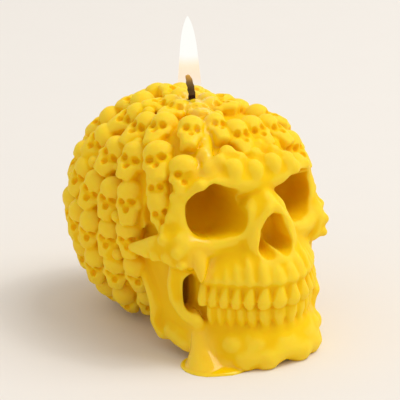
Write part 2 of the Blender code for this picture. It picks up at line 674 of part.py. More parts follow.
def make_flame():
    """A drop of light around the wick's end, hollow where the wick stands in it."""
    low = WAX_TOP + 1.5
    tall = FLAME_TIP - low
    shape = bmesh.new()
    profile = []
    steps = 20
    for n in range(steps + 1):
        t = n / steps
        radius = FLAME_RADIUS * 2.6 * math.sqrt(t) * (1 - t) ** 0.9 if 0 < n < steps else 0.0
        profile.append(shape.verts.new(Vector((min(radius, FLAME_RADIUS), 0, low + t * tall)) * MM))
    for pair in zip(profile, profile[1:]):
        shape.edges.new(pair)
    flame = to_object(shape, "flame", CANDLE)
    modify(flame, "SCREW", angle=math.tau, axis="Z", steps=24, render_steps=24,
           use_merge_vertices=True, merge_threshold=1e-5, use_normal_calculate=True)
    flame.location = Vector((0.5 * WICK_TIP[0], WICK_Y, 0)) * MM
    bake(flame)
    flame.data.transform(Matrix.Translation(flame.location))
    flame.location = (0, 0, 0)
    sleeve = tube("flame_cutter", wick_route(WAX_TOP - 20) + [Vector(WICK_TIP) + Vector((-0.1, 0, 0.4))],
                  WICK_RADIUS + WICK_CLEARANCE, CUTTERS)
    return cut(flame, sleeve)


# Finishes

def material(name, colour, roughness, emission=0.0):
    made = bpy.data.materials.new(name)
    made.use_nodes = True
    shader = made.node_tree.nodes["Principled BSDF"]
    shader.inputs["Base Color"].default_value = (*colour, 1.0)
    shader.inputs["Roughness"].default_value = roughness
    shader.inputs["Emission Color"].default_value = (*colour, 1.0)
    shader.inputs["Emission Strength"].default_value = emission
    return made


def main():
    wax = make_wax()
    wax.data.materials.append(material("yellow_beeswax", (0.85, 0.55, 0.02), 0.4))
    wick = make_wick()
    wick.data.materials.append(material("charred_cotton", (0.06, 0.03, 0.01), 0.9))
    flame = make_flame()
    flame.data.materials.append(material("flame_light", (1.0, 0.85, 0.5), 0.5, 4.0))
    for piece in (wax, wick, flame):
        for face in piece.data.polygons:
            face.use_smooth = True


main()
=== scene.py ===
# %% [markdown]
# # A lit skull candle
#
# The real object is one cast piece of yellow beeswax with a cotton wick. The plain model has its
# size and its main forms. This lesson sculpts the wax again in finer detail, braids the wick,
# shapes the flame and gives each of them a finish that is worked out by nodes.
#
# Loading comes first, because every new piece is placed by the plain model.

# %% Load the plain model
import math
import random

import bpy
import numpy as np
from mathutils import Matrix, Vector
from mathutils.bvhtree import BVHTree


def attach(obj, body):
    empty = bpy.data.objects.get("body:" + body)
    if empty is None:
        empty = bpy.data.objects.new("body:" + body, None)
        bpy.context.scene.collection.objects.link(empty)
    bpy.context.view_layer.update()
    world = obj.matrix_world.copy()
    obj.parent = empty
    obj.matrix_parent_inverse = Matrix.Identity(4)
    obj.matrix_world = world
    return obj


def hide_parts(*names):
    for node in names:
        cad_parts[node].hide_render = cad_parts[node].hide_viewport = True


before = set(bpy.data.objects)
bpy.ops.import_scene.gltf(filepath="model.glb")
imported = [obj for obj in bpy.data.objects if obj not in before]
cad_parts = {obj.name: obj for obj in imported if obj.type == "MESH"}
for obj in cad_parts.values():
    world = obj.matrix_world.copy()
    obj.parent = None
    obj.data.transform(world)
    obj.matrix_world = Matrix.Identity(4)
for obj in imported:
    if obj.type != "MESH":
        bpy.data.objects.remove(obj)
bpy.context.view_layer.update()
MM = 0.001
print("nodes:", sorted(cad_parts))

# %% [markdown]
# The photograph looks down on the candle from its right and a little above, with a long lens. A
# camera could be placed by eye, but a target point, a direction and a distance are easier to
# correct one at a time.

# %% Camera
TARGET = Vector((2, 6, 41.5)) * MM
BACK = Vector((-0.544, -0.777, 0.317)).normalized()
DISTANCE, LENS = 650, 173.2
bpy.ops.object.camera_add(location=TARGET + BACK * DISTANCE * MM)
camera = bpy.context.active_object
camera.rotation_euler = BACK.to_track_quat("Z", "Y").to_euler()
camera.data.lens = LENS
camera.data.clip_start = 0.01
bpy.context.scene.camera = camera
print("camera at", tuple(round(v, 3) for v in camera.location))

# %% [markdown]
# ## Shapes by wrapping balls
#
# A cast skull has no flat side and no sharp corner, so boxes are a poor start. Two or more balls
# wrapped in one tight skin give any soft bone-like form, and a row of such skins gives a roll of
# clay. Each skin is made in an object of its own, because wrapping is quick only on small meshes.


# %% Wrap balls in a skin
def plain_select(*chosen):
    """Select only these objects, the first one active."""
    bpy.ops.object.select_all(action="DESELECT")
    for one in chosen:
        one.select_set(True)
    bpy.context.view_layer.objects.active = chosen[0]


def wrap(balls):
    """One tight skin around the balls (x, y, z, radius or three radii), in millimetres."""
    bpy.ops.object.select_all(action="DESELECT")
    for number, (x, y, z, radius) in enumerate(balls):
        radii = radius if isinstance(radius, tuple) else (radius,) * 3
        bpy.ops.mesh.primitive_ico_sphere_add(
            subdivisions=3, radius=MM, location=Vector((x, y, z)) * MM, scale=radii)
        if number == 0:
            skin = bpy.context.active_object
            bpy.ops.object.mode_set(mode="EDIT")
    bpy.ops.mesh.select_all(action="SELECT")
    bpy.ops.mesh.convex_hull()
    bpy.ops.object.mode_set(mode="OBJECT")
    return skin


def chain(balls):
    """A roll of clay: each ball is wrapped together with the next."""
    return [wrap(pair) for pair in zip(balls, balls[1:])]


print("skins wrap balls of a 1 mm radius, scaled to the size that is asked for")

# %% [markdown]
# Many small skins become one body in three steps. They are joined, mirrored where both sides are
# alike, and melted together on a grid of small cubes. A boolean union would keep a hard seam where
# two skins meet, and cast wax has none. Each modifier is applied at once, so the mesh stays plain.


# %% Join, mirror and melt
def gather(name, skins):
    """Join the skins in one object at the origin."""
    plain_select(*skins)
    bpy.ops.object.join()
    whole = bpy.context.active_object
    whole.name = whole.data.name = name
    bpy.ops.object.transform_apply(location=True, rotation=True, scale=True)
    return whole


def apply_modifier(target, kind, **settings):
    """Add a modifier, set it and apply it."""
    plain_select(target)
    modifier = target.modifiers.new(kind.title(), kind)
    for key, value in settings.items():
        setattr(modifier, key, value)
    bpy.ops.object.modifier_apply(modifier=modifier.name)
    return target


def both_sides(target):
    """Add the mirror image across the middle of the face."""
    return apply_modifier(target, "MIRROR", use_mirror_merge=False)


def melt(target, voxel, rounds):
    """Fuse overlapping skins into one and soften their seams."""
    apply_modifier(target, "REMESH", mode="VOXEL", voxel_size=voxel * MM)
    if rounds:
        apply_modifier(target, "SMOOTH", factor=0.5, iterations=rounds)
    return target


def carve(target, cutter):
    """Take the cutter's shape out of the target and remove the cutter."""
    apply_modifier(target, "BOOLEAN", operation="DIFFERENCE", object=cutter)
    bpy.data.objects.remove(cutter)
    return target


print("joining, mirroring, melting and carving are ready")

# %% [markdown]
# ## Cranium and face
#
# The sizes come first, in millimetres, because many pieces share them. The row of teeth follows a
# parabola, and everything on the jaws is placed along it.

# %% Sizes of the skull
REAR = (0.0, 19.5, 36.5, (31.8, 33.8, 37.3))
FRONT = (8.5, -6.5, 46.5, (20.5, 21.5, 26.5))
EYE = (16.0, -29.0, 50.6)
EYE_OUT, EYE_UP, EYE_DEPTH = 9.3, 8.6, 22.0
NOSE_TOP, NOSE_FOOT, NOSE_HALF = 49.0, 36.2, 6.7
ARCH_OUT, ARCH_HIGH = 31.5, 36.5
WICK_Y, WAX_TOP = 7.7, 77.0
UPPER_GUM, BITE, LOWER_GUM = 26.7, 20.0, 14.5
ARCH_BEND = 0.031


def dental(x, height, inset=0.0):
    """A point on the row of teeth, a little behind its front where there is an inset."""
    slope = 2 * ARCH_BEND * x
    outward = Vector((slope, -1.0, 0.0)).normalized()
    return Vector((x, -46.3 + ARCH_BEND * x * x, height)) - outward * inset


print("middle of the bite:", tuple(dental(0, BITE)))

# %% [markdown]
# The cranium is an egg: a big ball behind and two smaller ones side by side in front, in one skin.
# Its surface is also kept as a search tree, because the small skulls will stand on it later.

# %% Cranium
x, y, z, radii = FRONT
cranium = wrap([REAR, (x, y, z, radii), (-x, y, z, radii)])
egg = BVHTree.FromPolygons(
    [cranium.matrix_world @ v.co for v in cranium.data.vertices],
    [tuple(p.vertices) for p in cranium.data.polygons])
print("cranium is", tuple(round(v * 1000, 1) for v in cranium.dimensions), "mm")

# %% [markdown]
# The face is built as a sculptor would, from rolls of clay. Only the left half is laid, and then
# mirrored. The rolls go once round the eye first, because the rim holds the whole face together. Wider
# skins tie the rim to the cranium, and a few balls make the small bumps outside the eye.

# %% Brow and rims of the eyes
ex, ey, ez = EYE
rim = [
    (0, ey - 0.4, ez + EYE_UP - 1.4, 3.8),
    (ex - 0.9 * EYE_OUT, ey - 0.6, ez + EYE_UP - 0.2, 3.4),
    (ex - 0.1 * EYE_OUT, ey + 0.8, ez + EYE_UP + 0.8, 2.7),
    (ex + 0.6 * EYE_OUT, ey + 4.2, ez + EYE_UP - 1.4, 2.4),
    (ex + 0.95 * EYE_OUT, ey + 7.6, ez + 0.48 * EYE_UP, 2.4),
    (ex + 1.08 * EYE_OUT, ey + 8.2, ez, 2.8),
    (ex + 1.05 * EYE_OUT, ey + 6.6, ez - 0.7 * EYE_UP, 3.2),
    (ex + 0.9 * EYE_OUT, ey + 4.0, ez - EYE_UP - 2.0, 3.8),
    (ex + 0.3 * EYE_OUT, ey + 0.8, ez - EYE_UP - 3.2, 3.5),
    (ex - 0.35 * EYE_OUT, ey - 2.2, ez - EYE_UP - 1.8, 3.2),
    (ex - 0.9 * EYE_OUT, ey - 4.2, ez - 0.72 * EYE_UP, 2.9),
    (ex - 1.15 * EYE_OUT, ey - 3.6, ez - 0.1 * EYE_UP, 2.6),
    (0, ey - 0.2, ez + 0.55 * EYE_UP, 3.2)]
half = chain(rim)
half.append(wrap([rim[0], rim[2], rim[3], (ex - 2, ey + 14, ez + 6, 6.0)]))
half.append(wrap([rim[4], rim[5], rim[6], (ex + 2, ey + 15, ez, 5.0)]))
half.append(wrap([*rim[:3], (3, -23.5, 61.0, 4.0), (12, -22.5, 61.0, 4.0)]))
half.append(wrap([*rim[2:4], (12, -22.5, 61.0, 4.0), (19, -17.5, 58.5, 4.0)]))
for knob in ((26.2, -20.4, 55.0, 2.4), (26.6, -22.2, 51.6, 2.0), (28.0, -21.0, 48.4, 2.6),
             (29.6, -20.0, 44.8, 2.4), (27.6, -24.6, 42.6, 2.8), (20.5, -26.6, 59.4, 2.6)):
    half.append(wrap([(*knob[:3], 0.86 * knob[3])]))
print(len(half), "rolls around the eye")

# %% [markdown]
# A skull has no nose, only a short bony ridge above a pear-shaped hole. The ridge is one skin and the
# rim of the hole is a thin roll. The hole itself is cut later, when all masses are one body.

# %% Nose
ridge = (0, -36.2, NOSE_TOP + 2.9, 2.3)
half.append(wrap([(0, -28.0, 55.5, 3.6), ridge, (NOSE_HALF - 0.9, -34.0, NOSE_TOP - 4, 2.4),
                  (6, -31, 47, 3)]))
nose_rim = [
    (1.3, -37.2, NOSE_TOP + 2.2, 1.8),
    (NOSE_HALF - 0.4, -36.4, NOSE_TOP - 4.0, 1.8),
    (NOSE_HALF + 1.5, -36.5, NOSE_FOOT + 3.4, 1.9),
    (NOSE_HALF - 1.0, -38.7, NOSE_FOOT - 1.4, 1.9),
    (0, -41.2, NOSE_FOOT - 1.4, 2.0)]
half += chain(nose_rim)
half.append(wrap([*nose_rim[1:4], (9, -30, 42, 3.0)]))
print(len(half), "with the nose")

# %% [markdown]
# The upper jaw is a block behind the teeth that widens towards the cheekbones. A bar runs back from
# each cheekbone, beside the hollow of the temple, and ends in a point. It is laid as a roll that gets
# thinner, because one skin around all its balls would lose its bend.

# %% Upper jaw and cheek
gum = [dental(x, UPPER_GUM + 2.0, 3.6) for x in (0, 6, 12, 17, 21)]
gum.append(gum[-1] + Vector((0.6, 8, 1.5)))
half.append(wrap([(*p, 2.9) for p in gum]
                 + [(5, -32, 45, 3.0), (13, -28, 39, 4.0), (20, -22, 37, 4.0), (8, -12, 42, 8.0)]))
for top, foot, inset in ((UPPER_GUM + 1, BITE + 1.5, 3.1), (BITE + 1, LOWER_GUM - 3, 4.3)):
    block = [(*dental(x, height, inset), 1.8) for height in (top, foot) for x in (0, 7, 14, 20)]
    half.append(wrap(block + [(19.0, -20, top, 2.0), (19.0, -20, foot, 2.0)]))
high = ARCH_HIGH
cheek = [(26, -25, high + 3.5, 4.0), (24.5, -25.8, high - 1.5, 3.5), (28, -23.2, high - 1.2, 3.0),
         (26.5, -21, high + 7, 3.2)]
half.append(wrap(cheek))
bar = [
    (29.5, -22, high + 2.7, (2.6, 3.0, 5.2)),
    (ARCH_OUT - 0.4, -16, high + 1.4, (2.4, 3.0, 4.2)),
    (ARCH_OUT + 0.3, -10.5, high - 0.3, (2.3, 3.0, 2.9)),
    (ARCH_OUT, -5, high - 1.8, (2.1, 2.4, 1.8)),
    (ARCH_OUT - 1.2, -1.5, high - 2.8, (1.8, 1.8, 1.2))]
half += chain(bar)
half.append(wrap([cheek[0], cheek[2], bar[0]]))
for knob in ((33.1, -18.5, 35.6, 1.9), (33.0, -13.2, 34.9, 1.6), (33.0, -8.6, 34.5, 1.3),
             (32.4, -16.0, 39.6, 1.9), (31.6, -21.5, 42.2, 2.2), (31.4, -23.0, 36.2, 2.2),
             (29.6, -26.6, 38.6, 2.3), (28.6, -27.6, 34.4, 2.0), (31.8, -11.5, 37.6, 1.6)):
    half.append(wrap([(*knob[:3], 0.84 * knob[3])]))
print(len(half), "with the cheekbone")

# %% [markdown]
# The lower jaw has a thin upright plate at the rear, with a raised edge in front and behind, and a
# heavy rounded body that the candle stands on. The wax between the two sides is solid, as the mould
# leaves it. Lumps along the lower border are where soft wax sagged.

# %% Lower jaw
plate = (2.2, 3.0, 3.0)
levels = [((24.2, -1, 30), (24.2, -23, 33)), ((24.0, -3, 26), (24.0, -22.4, 27)),
          ((24.0, -7.6, 21), (24.0, -22, 22)), ((24.0, -10.6, 14.5), (24.0, -24.5, 17.5)),
          ((23.8, -10.6, 9.2), (23.0, -28, 13.5)), ((23.6, -15.5, 6.4), (22.4, -27, 7.5))]
for upper, lower in zip(levels, levels[1:]):
    half.append(wrap([(*point, plate) for point in upper + lower]))
back_edge = [(26.2, -1.6, 27.5, 2.0), (26.5, -3.8, 24.5, 2.0), (26.6, -7.2, 19.8, 2.1),
             (26.6, -9.8, 14.5, 2.2), (26.2, -9.6, 9.8, 2.4), (25.4, -12.6, 6.2, 2.6)]
crest = [(26.4, -21.2, 32, 2.3), (26.9, -20.2, 26, 2.2), (26.7, -21.4, 21, 2.2),
         (25.8, -25.0, 17.2, 2.2), (24.0, -29.0, 15.4, 2.2)]
half += chain(back_edge) + chain(crest)
body = [[(x, y, low, 4.2), (x * 0.95, y + 1.8, 10.8, 3.4)]
        for x, y, low in ((23.2, -20, 7.2), (21.2, -27.8, 6.0), (16.9, -34.5, 4.2), (11.5, -41, 4.0),
                          (4.6, -43.2, 4.2), (0, -43.4, 5.6))]
for back, front in zip(body, body[1:]):
    half.append(wrap(back + front))
half.append(wrap([(*dental(x, LOWER_GUM - 1.2, 4.6), 2.9) for x in (0, 6, 12, 16.5, 20.5)]
                 + [body[2][1], body[4][1], body[1][1]]))
half.append(wrap([(0, -30, 30, 6), (0, -34, 5, 6), (0, 14, 2, (12, 14, 5)), (14, -22, 5, 5),
                  (13, -18, 32, 5), (0, 6, 30, (20, 14, 10))]))
for lump in ((6.4, -42.6, 3.4, 5.0), (12.6, -39.6, 3.4, 5.0), (17.2, -35.0, 2.6, 4.3),
             (1.6, -43.0, 8.0, 3.8), (9.0, -41.2, 8.2, 4.0), (15.4, -37.4, 8.0, 3.8),
             (21.6, -30.0, 5.2, 4.2), (23.4, -23.5, 6.0, 3.4), (17.8, -36.4, 1.4, 3.4),
             (24.2, -17.0, 8.0, 3.6)):
    half.append(wrap([lump]))
print(len(half), "with the jaw and the wax behind it")

# %% [markdown]
# Seven teeth stand on each side. Their widths are walked off along the parabola, so that neighbours
# touch wherever they stand. The roots are ridges that run up the bone and fade, so they are laid now
# and melt into the jaw, while the crowns come later and stay crisp.

# %% Places and roots of the teeth
TOOTH_WIDTHS = (5.6, 5.4, 4.6, 4.0, 4.0, 3.8, 3.6)
ROOT_RISES = (4.5, 6.5, 8.5, 6.5, 5.5, 4.5, 3.5)
TEETH = []
x = 0.0
for width, rise in zip(TOOTH_WIDTHS, ROOT_RISES):
    step = width / math.sqrt(1 + (2 * ARCH_BEND * (x + width / 2)) ** 2)
    TEETH.append((x + step / 2, width / 2, rise))
    x += step
for x, wide, rise in TEETH:
    root = dental(x * 0.98, UPPER_GUM + 2.2, 1.2)
    half += chain([(*root, (wide * 0.84, 1.6, 1.6)),
                   (root.x * 0.95, root.y + 0.24 * rise, root.z + rise * 0.6, (wide * 0.68, 1.5, 1.4)),
                   (root.x * 0.88, root.y + 0.58 * rise, root.z + rise, (wide * 0.5, 1.3, 1.0))])
    foot = dental(x * 0.93, LOWER_GUM - 0.8, 2.2)
    half += chain([(*foot, (wide * 0.7, 1.4, 1.4)),
                   (foot.x * 0.97, foot.y + 0.6, foot.z - 4.5, (wide * 0.6, 1.6, 1.4))])
print("teeth on each side:", len(TEETH))

# %% [markdown]
# Above the eyes the small skulls have melted to lumps. Each is a ball that is a little higher than
# wide. Its place is counted from the middle of the face and from the upper edge of the eyes. They
# differ from left to right, so they aren't mirrored.

# %% Lumps on the brow
BROW_LUMPS = (
    (-2.4, -1.2, 2.8, 3.2), (4.8, -0.8, 3.6, 3.3), (-9.6, 0.4, 3.6, 3.6), (11.0, -0.2, 3.0, 3.3),
    (-15.6, 4.8, 3.6, 2.9), (17.4, 2.6, 0.9, 3.0), (-20.2, 8.6, 2.8, 2.8), (22.4, 11.4, 0.8, 2.9),
    (-8.0, 5.8, 7.0, 3.1), (-0.9, 7.2, 7.4, 2.7), (4.8, 6.6, 6.8, 3.0), (12.0, 8.4, 5.6, 2.9),
    (16.0, 11.0, 6.0, 3.0), (-14.6, 9.2, 7.0, 2.8), (13.6, -0.6, 0.6, 2.7), (1.0, 3.0, 5.6, 2.8),
    (8.5, 3.4, 5.2, 2.8), (-5.4, 2.6, 5.4, 2.8), (-12.2, 3.8, 5.6, 2.8))
lumps = [wrap([(x, ey + y, ez + EYE_UP + z, (size, size, size + 0.8))])
         for x, y, z, size in BROW_LUMPS]
print("lumps along the brow:", len(lumps))

# %% [markdown]
# The half face is mirrored, joined with the cranium and the lumps, and melted on a coarse grid. Coarse
# is right here: it rounds every seam as a warm thumb would, and the details aren't in yet.

# %% Fuse the masses
wax = both_sides(gather("skull_wax", half))
wax = gather("skull_wax", [wax, cranium, *lumps])
melt(wax, 0.7, 4)
print("masses:", len(wax.data.polygons), "faces")

# %% [markdown]
# ## Hollows
#
# The eyes, the nose, the temples and the gaps under the cheekbones are cut out of the fused
# masses. Cutting before the fine details means that the teeth and the rims stay whole. A hollow is
# wrapped from balls too, so it has the round bottom that a mould leaves.

# %% Cut the hollows
inner = (ex - 0.42 * EYE_OUT, ey - 2.5, ez, (0.56 * EYE_OUT, 3.0, 0.9 * EYE_UP))
middle = (ex, ey, ez, (0.6 * EYE_OUT, 3.0, EYE_UP))
outer = (ex + 0.42 * EYE_OUT, ey + 2.5, ez - 0.4, (0.58 * EYE_OUT, 3.0, 0.92 * EYE_UP))
ahead = [(x + 1.5, y - 8, z, r) for x, y, z, r in (inner, middle, outer)]
cup = (ex - 1.0, ey + 0.42 * EYE_DEPTH, ez - 0.8, (0.92 * EYE_OUT, 0.36 * EYE_DEPTH, EYE_UP))
end = (ex - 4.5, ey + EYE_DEPTH - 5, ez + 0.4, 5.0)
above = (ex, ey, ez + 1.6, (0.66 * EYE_OUT, 3.0, 0.98 * EYE_UP))
hollow = [wrap([inner, middle, outer, *ahead]), wrap([inner, middle, outer, cup]), wrap([cup, end])]
low = NOSE_FOOT + 2.4
hollow.append(wrap([(NOSE_HALF - 3.1, -44, low, 3.7), (1.6, -44, NOSE_TOP - 0.8, 1.6),
                    (NOSE_HALF - 3.6, -32, low + 0.8, 2.7), (1.9, -32, NOSE_TOP - 2.0, 1.4)]))
hollow.append(wrap([(0, -44, low + 0.5, 2.8), (0, -44, NOSE_TOP - 0.8, 1.6), (0, -39, low + 2, 2.0),
                    (0, -36.5, NOSE_TOP - 1, 1.4)]))
hollow.append(wrap([(33.5, -10.5, 46.5, (6, 4.5, 6)), (27.5, -10, 46, (3.5, 4, 5.5))]))
hollow.append(wrap([(26.6, -14, 40, (1.9, 3.5, 4)), (27.2, -6, 39, (1.7, 4, 3))]))
hollow.append(wrap([(25.8, -31.5, 27, (2.6, 4, 3.5)), (21.6, -20.5, 26, (1.6, 4, 3.5)),
                    (25.8, -31.5, 20.5, (2.6, 3.5, 2.5)), (21.6, -20.5, 20, (1.6, 4, 3.0))]))
hollow = [both_sides(gather("hollows", hollow)),
          wrap([(-x, y, z, radii) for x, y, z, radii in (above, cup)])]
for dimple in ((-11.1, -46.6, 9.4, 1.7), (0.3, -48.8, 7.4, 1.8), (-16.6, -42.2, 10.4, 1.8),
               (-22.6, -35.4, 9.0, 1.7), (8.4, -47.4, 8.6, 1.6), (-6.0, -48.4, 4.4, 1.5)):
    hollow.append(wrap([dimple]))
hollows = melt(gather("hollows", hollow), 0.6, 2)
carve(wax, hollows)
melt(wax, 0.55, 1)
print("after cutting:", len(wax.data.polygons), "faces")

# %% [markdown]
# ## The small skulls
#
# The cranium is covered in small skulls in level rows, like shingles. One small skull is modelled
# and its eyes and nose are pressed in. Copies of it, each a little different in size and lean, are
# then stood on the egg. Casting blurs the sharp edges, and melting the copies into the cranium does
# the same here.


# %% One small skull
def small_skull(name, wide, jaw_drop):
    """A skull 15 mm tall that faces -Y; the second value sets how far its jaw hangs."""
    dome = [wrap([(0, 0.0, 3.1, (3.75 * wide, 3.9, 4.2)), (0, 0.2, 0.6, (3.3 * wide, 3.2, 2.6))]),
            wrap([(0, -2.6, 1.6, (2.6 * wide, 1.2, 0.9)), (0, -1.6, 3.6, (2.4, 2.0, 2.0))])]
    side = [wrap([(2.5 * wide, -1.2, -1.3, 1.25), (1.6, -0.6, 0.3, 2.0)]),
            wrap([(1.5, -1.7, -2.4, 1.4), (1.15, -2.2, jaw_drop, 0.95), (1.3, 2.0, jaw_drop + 1, 1.2),
                  (0, -2.4, -2.6, 1.2), (0, -2.5, jaw_drop, 0.9)])]
    skull = melt(gather(name, [both_sides(gather(name, side)), *dome]), 0.28, 3)
    pit = [wrap([(1.6 * wide, -4.2, 0.3, (1.35, 2.6, 1.4)), (1.5 * wide, -2.2, 0.3, 0.9)])]
    pits = gather("pits", [both_sides(gather("pit", pit)),
                           wrap([(0, -3.6, -1.9, (0.95, 1.8, 0.8)), (0, -3.6, -2.8, (0.75, 1.6, 0.5))])])
    carve(skull, pits)
    apply_modifier(skull, "DECIMATE", ratio=0.35)
    return skull


small = [small_skull("small_skull_tall", 0.96, -6.3), small_skull("small_skull_round", 1.08, -5.7)]
print("small skulls have", [len(s.data.polygons) for s in small], "faces")


# %% [markdown]
# The rows are level rings around the egg. To find one, the surface is walked from the floor to the
# crown at every second degree, and the point at the wanted share of the way is kept. Rays from inside
# give both the point and the direction that a skull has to face. Places on the face are left out.


# %% Walk over the egg
def in_face(point):
    """True where the face, temple, cheek or jaw takes the place of small skulls."""
    x, y, z = abs(point.x), point.y, point.z
    if z < 30:
        return y < (4.0 if z < 20 else -2.5)
    if z < 41:
        return y < -3
    if z < 58:
        return y < -15 + 0.2 * (z - 41) - 0.3 * (30 - x)
    return y < -29


def meridian(turn):
    """Points up the egg at one bearing, each with its direction and the distance walked."""
    centre = Vector((0, WICK_Y, REAR[2])) * MM
    walked, last = 0.0, None
    for degrees in range(-70, 91):
        tilt = math.radians(degrees)
        level = math.cos(tilt)
        aim = Vector((math.sin(turn) * level, math.cos(turn) * level, math.sin(tilt)))
        spot, normal, _, _ = egg.ray_cast(centre, aim)
        if last is None and spot.z < 3.5 * MM:
            continue
        if last is not None:
            walked += (spot - last).length
        last = spot
        yield walked, spot, normal


def row_points(share, pitch, start):
    """Evenly spaced places around the egg from a first bearing, at one share of the way up."""
    steps = 180
    loop = []
    for n in range(steps):
        path = list(meridian(math.radians(start) + math.tau * n / steps))
        goal = share * path[-1][0]
        loop.append(next((spot, normal) for walked, spot, normal in path if walked >= goal))
    lengths = [(loop[n][0] - loop[n - 1][0]).length for n in range(steps)]
    count = max(3, round(sum(lengths) / (pitch * MM)))
    gap = sum(lengths) / count
    walked, goal = 0.0, 0.0
    for n in range(steps):
        if walked >= goal:
            yield loop[n]
            goal += gap
        walked += lengths[(n + 1) % steps]


def place_at(bearing, share):
    """The egg's skin at one bearing, one share of the way from floor to crown."""
    path = list(meridian(math.radians(bearing)))
    return next((spot, normal) for walked, spot, normal in path if walked >= share * path[-1][0])


print("crown of the egg, in millimetres:", tuple(round(v / MM, 1) for v in place_at(0, 1)[0]))

# %% [markdown]
# Each row has its share of the way up, its pitch, the width of its skulls and the bearing of its first
# one. On the forehead the photograph's skulls stand in no row, so twelve places are given one by one.

# %% Rows and forehead
ROWS = ((0.11, 10.0, 9.4, -97), (0.26, 9.8, 9.6, -104), (0.395, 10.0, 9.8, -105),
        (0.53, 10.8, 10.4, -106), (0.66, 12.4, 11.0, -125), (0.785, 10.8, 10.2, -85),
        (0.90, 10.0, 9.4, -107))
FRONT_PLACES = ((-141, 0.614, 9.8), (141, 0.62, 9.8), (-127, 0.575, 8.4), (127, 0.575, 8.4),
                (-130, 0.50, 7.6), (130, 0.50, 7.6), (-144, 0.757, 8.6), (-166, 0.776, 8.4),
                (180, 0.723, 9.4), (163, 0.727, 8.6), (148, 0.707, 8.6), (130, 0.75, 9.0))
FOREHEAD_LIMIT = {3: 116, 4: 131, 5: 118}
spots = []
for number, (share, pitch, width, start) in enumerate(ROWS):
    for spot, normal in row_points(share, pitch, start):
        bearing = abs(math.degrees(math.atan2(spot.x, spot.y - WICK_Y * MM)))
        limit = FOREHEAD_LIMIT.get(number, 180)
        if bearing < limit and not in_face(spot / MM):
            spots.append((spot, normal, width))
for bearing, share, width in FRONT_PLACES:
    spots.append((*place_at(bearing, share), width))
print("small skulls:", len(spots))

# %% [markdown]
# Every copy gets a mesh of its own, which is turned so that its back lies on the egg and its crown
# points to the wick. Dice with a fixed seed choose its kind, size and lean, and set a ball of wax
# beside every second one, so that each run of the script gives the same candle.


# %% Stand the copies on the cranium
def copy_of(source, place):
    """A copy with a mesh of its own, moved there."""
    mesh = source.data.copy()
    mesh.transform(place)
    made = bpy.data.objects.new(source.name, mesh)
    bpy.context.scene.collection.objects.link(made)
    return made


STAND_OFF = 0.7
FULL_WIDTH = 7.8
LEAN, SIDE_TURN = 6, 24
dice = random.Random(7)
relief = []
for spot, normal, width in spots:
    axis = Vector((0, WICK_Y, WAX_TOP)) * MM - spot
    up = (axis - axis.dot(normal) * normal).normalized()
    right = up.cross(normal).normalized()
    turn = Matrix((-right, -normal, up)).transposed().to_4x4()
    forward = SIDE_TURN * spot.x / (REAR[3][0] * MM)
    lean = Matrix.Rotation(math.radians(dice.uniform(-LEAN, LEAN)), 4, "Y")
    yaw = Matrix.Rotation(math.radians(forward), 4, "Z")
    size = dice.uniform(0.98, 1.07)
    thick = size * (0.5 + 0.5 * width / FULL_WIDTH)
    scale = Matrix.Diagonal((size * width / FULL_WIDTH, thick, size, 1))
    place = Matrix.Translation(spot + normal * STAND_OFF * MM) @ turn @ lean @ yaw @ scale
    relief.append(copy_of(dice.choice(small), place))
    if dice.random() < 0.5:
        ball = (spot + (right * 0.52 * width - up * 4.4 + normal * 1.6) * MM) / MM
        relief.append(wrap([(*ball, 2.1)]))
for one in small:
    bpy.data.objects.remove(one)
print("small skulls and balls:", len(relief))

# %% [markdown]
# ## Teeth
#
# Each crown is widest near the bite and narrow at the gum, so it is wrapped from three flat balls.
# Neighbours only just touch, so the last melt joins them and still leaves a groove between them. The
# eye tooth has a narrower tip, and the lower teeth are smaller.

# %% Teeth
EYE_TOOTH = 2
half = []
for number, (x, wide, _) in enumerate(TEETH):
    top, edge = dental(x, UPPER_GUM, 1.7), dental(x, BITE + 1.2, 1.0)
    tip = 0.7 if number == EYE_TOOTH else 0.92
    half.append(wrap([(*top, (wide * 0.56, 1.6, 1.3)),
                      (edge.x, edge.y, edge.z + 1.5, (wide * 1.02, 1.6, 1.5)),
                      (*edge, (wide * tip, 1.3, 1.1))]))
    crown, foot = dental(x * 0.93, BITE - 0.6, 2.0), dental(x * 0.93, LOWER_GUM + 0.2, 2.2)
    half.append(wrap([(*crown, (wide * 0.92, 1.4, 1.4)),
                      (crown.x, crown.y, crown.z - 2.2, (wide * 0.92, 1.5, 1.5)),
                      (*foot, (wide * 0.6, 1.3, 1.4))]))
teeth = both_sides(gather("teeth", half))
print("crowns:", 2 * len(half), "with", len(teeth.data.polygons), "faces")

# %% [markdown]
# ## Melted wax
#
# The flame has melted a track from the wick over the brow. A drip hangs under the right eye, and
# wax ran over the jaw into a puddle. They are laid as rolls along centre lines, and the same lines
# later say where the finish is glossy.

# %% Runs, drips and the puddle
brow_run = [(-0.7, 5, 74.6, 3.0), (-5.8, -4, 73.4, 2.6), (-8.7, -12, 71.2, 2.4),
            (-13.6, -19.6, 67.2, 2.2), (-16.0, -24, 63.6, 2.0)]
cheek_drip = [(-21.6, -26.0, 40.2, (3.8, 2.4, 2.0)), (-21.9, -28.0, 37.4, (3.8, 2.6, 3.0)),
              (-22.6, -29.4, 34.0, (2.6, 2.3, 2.4)), (-23.2, -30.7, 31.0, 1.4), (-23.4, -31.1, 29.2, 0.6)]
jaw_run = [(-22.6, -26.6, 14.8, (2.0, 1.2, 1.6)), (-22.5, -28.6, 10, (2.7, 2.2, 3.0)),
           (-22.4, -30.6, 5.5, (4.4, 3.6, 3.0)), (-22, -32.4, 1.2, (7.2, 6.6, 1.6))]
spills = chain(brow_run) + chain(cheek_drip) + chain(jaw_run)
puddle = [(-22, -32, 0, (8.3, 9.2, 1.8)), (-17.6, -36.4, 0, (7.2, 6.8, 1.8))]
